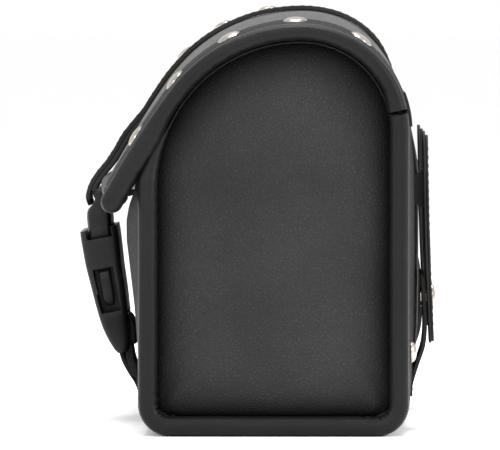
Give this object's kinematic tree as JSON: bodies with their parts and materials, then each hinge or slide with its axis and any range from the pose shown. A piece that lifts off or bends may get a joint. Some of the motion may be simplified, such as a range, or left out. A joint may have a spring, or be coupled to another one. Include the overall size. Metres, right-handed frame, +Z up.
{
  "type": "arched leather travel case",
  "caption": "Arched black leather case with recessed ends, a hinged lid, a strap with a side-release buckle and snap-down mounting straps.",
  "frame": {"origin": "middle of the base on the rest plane", "axes": "+Z up, +Y along the case, +X towards the back with the mounting straps"},
  "size_m": [0.1479, 0.254, 0.1716],
  "materials": {
    "case_leather": "pebbled, satin",
    "lid_leather": "smooth, semi-gloss",
    "strap_leather": "matte with raw cut edges",
    "stiffener_board": "matte",
    "lining_cloth": "woven",
    "nickel": "polished",
    "buckle_plastic": "moulded, satin",
    "webbing": "woven"
  },
  "bodies": {
    "case": {"front_panel": "case_leather", "back_panel": "case_leather", "base_panel": "case_leather", "front_board": "stiffener_board", "back_board": "stiffener_board", "base_board": "stiffener_board", "hinge_lining": "lining_cloth", "back_studs": "nickel", "webbing_anchor": "strap_leather", "end_panel_near": "case_leather", "end_rim_near": "case_leather", "end_board_near": "stiffener_board", "mount_tab_top_near": "strap_leather", "mount_spacer_near": "strap_leather", "base_strap_near": "strap_leather", "snap_post_near": "nickel", "end_panel_far": "case_leather", "end_rim_far": "case_leather", "end_board_far": "stiffener_board", "mount_tab_top_far": "strap_leather", "mount_spacer_far": "strap_leather", "base_strap_far": "strap_leather", "snap_post_far": "nickel"},
    "lid": {"lid_panel": "lid_leather", "lid_board": "stiffener_board", "lid_front_hem": "lid_leather", "lid_studs": "nickel", "strap_lower_layer": "strap_leather", "strap_upper_layer": "strap_leather", "strap_loop": "strap_leather", "strap_rivets": "nickel", "lid_roll_near": "lid_leather", "lid_trim_near": "strap_leather", "lid_roll_far": "lid_leather", "lid_trim_far": "strap_leather"},
    "buckle_top": {"buckle_male": "buckle_plastic"},
    "arm_near": {"buckle_arm_near": "buckle_plastic"},
    "arm_far": {"buckle_arm_far": "buckle_plastic"},
    "buckle_bottom": {"buckle_female": "buckle_plastic", "webbing": "webbing"},
    "tab_near": {"mount_tab_inner_near": "strap_leather", "mount_tab_outer_near": "strap_leather", "snap_cap_near": "nickel"},
    "tab_far": {"mount_tab_inner_far": "strap_leather", "mount_tab_outer_far": "strap_leather", "snap_cap_far": "nickel"}
  },
  "joints": [
    {"name": "lid_hinge", "type": "hinge", "parent": "case", "child": "lid", "pos_m": [0.05407, 0, 0.1311], "axis": [0, 1, 0], "range_deg": [0, 100]},
    {"name": "buckle_top_swing", "type": "hinge", "parent": "lid", "child": "buckle_top", "pos_m": [-0.07164, 0, 0.09319], "axis": [0, 1, 0], "range_deg": [-60, 5]},
    {"name": "arm_latch_near", "type": "hinge", "parent": "buckle_top", "child": "arm_near", "pos_m": [-0.07311, -0.0201, 0.07981], "axis": [-0.9816, 0, -0.1908], "range_deg": [0, 4.5], "stiffness_Nm_per_rad": 0.2},
    {"name": "arm_latch_far", "type": "hinge", "parent": "buckle_top", "child": "arm_far", "pos_m": [-0.07311, 0.0201, 0.07981], "axis": [0.9816, 0, 0.1908], "range_deg": [0, 4.5], "stiffness_Nm_per_rad": 0.2},
    {"name": "buckle_bottom_swing", "type": "hinge", "parent": "case", "child": "buckle_bottom", "pos_m": [-0.0573, 0, 0.0085], "axis": [0, 1, 0], "range_deg": [-32, 5]},
    {"name": "tab_swing_near", "type": "hinge", "parent": "case", "child": "tab_near", "pos_m": [0.06497, -0.07, 0.09], "axis": [0, -1, 0], "range_deg": [0, 95]},
    {"name": "tab_swing_far", "type": "hinge", "parent": "case", "child": "tab_far", "pos_m": [0.06497, 0.07, 0.09], "axis": [0, -1, 0], "range_deg": [0, 95]}
  ],
  "couplings": [
    {"joint": "buckle_top_swing", "follows": "lid_hinge", "ratio": -0.55},
    {"joint": "buckle_bottom_swing", "follows": "lid_hinge", "ratio": -0.28}
  ]
}
